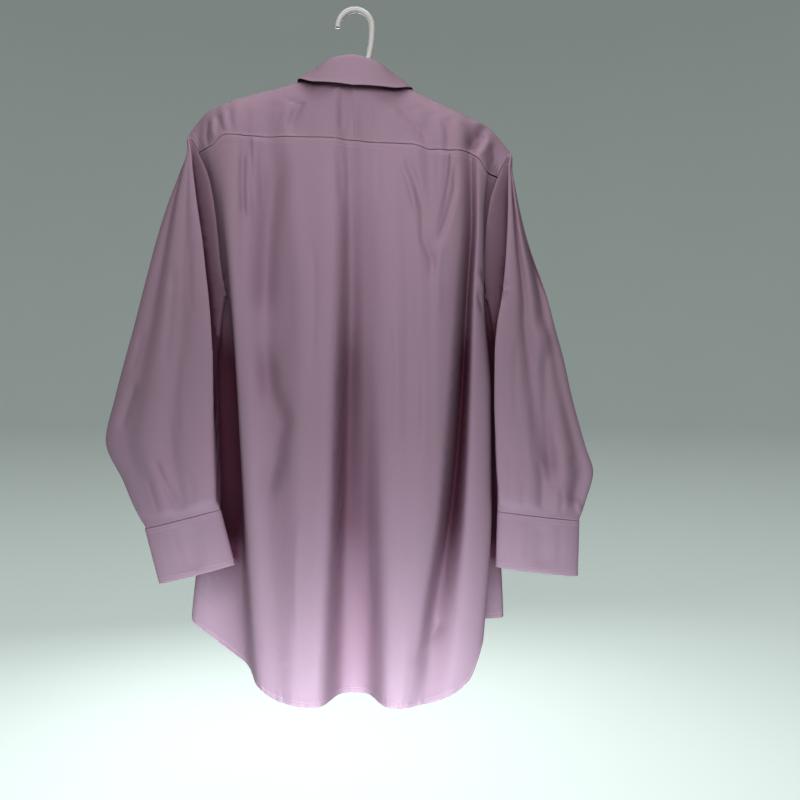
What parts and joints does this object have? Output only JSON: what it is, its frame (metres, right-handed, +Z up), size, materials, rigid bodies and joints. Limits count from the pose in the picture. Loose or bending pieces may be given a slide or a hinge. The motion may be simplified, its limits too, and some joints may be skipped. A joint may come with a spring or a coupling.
{
  "type": "long sleeve dress shirt on a hanger",
  "caption": "A plain collared dress shirt with long cuffed sleeves and curved tails, hanging on a plastic tube hanger by its hook.",
  "frame": {"origin": "where the hanger's hook rests on what carries it, at the inner top of the hook", "axes": "+Z up, the shirt's front faces -Y, +X is the wearer's left"},
  "size_m": [0.6242, 0.1321, 0.8882],
  "materials": {
    "shirt_cloth": "smooth woven cotton with a soft sheen",
    "button_plastic": "pearly",
    "hanger_plastic": "satin white"
  },
  "bodies": {
    "root": {"yoke_left": "shirt_cloth", "yoke_right": "shirt_cloth", "back_panel": "shirt_cloth", "front_left": "shirt_cloth", "front_right": "shirt_cloth", "front_placket": "shirt_cloth", "collar_stand": "shirt_cloth", "collar_fall": "shirt_cloth", "sleeve_left": "shirt_cloth", "sleeve_right": "shirt_cloth", "sleeve_placket_left": "shirt_cloth", "sleeve_placket_right": "shirt_cloth", "cuff_left": "shirt_cloth", "cuff_right": "shirt_cloth", "button_1": "button_plastic", "button_2": "button_plastic", "button_3": "button_plastic", "button_4": "button_plastic", "button_5": "button_plastic", "button_6": "button_plastic", "cuff_button_left": "button_plastic", "cuff_button_right": "button_plastic", "hanger": "hanger_plastic"}
  },
  "joints": []
}
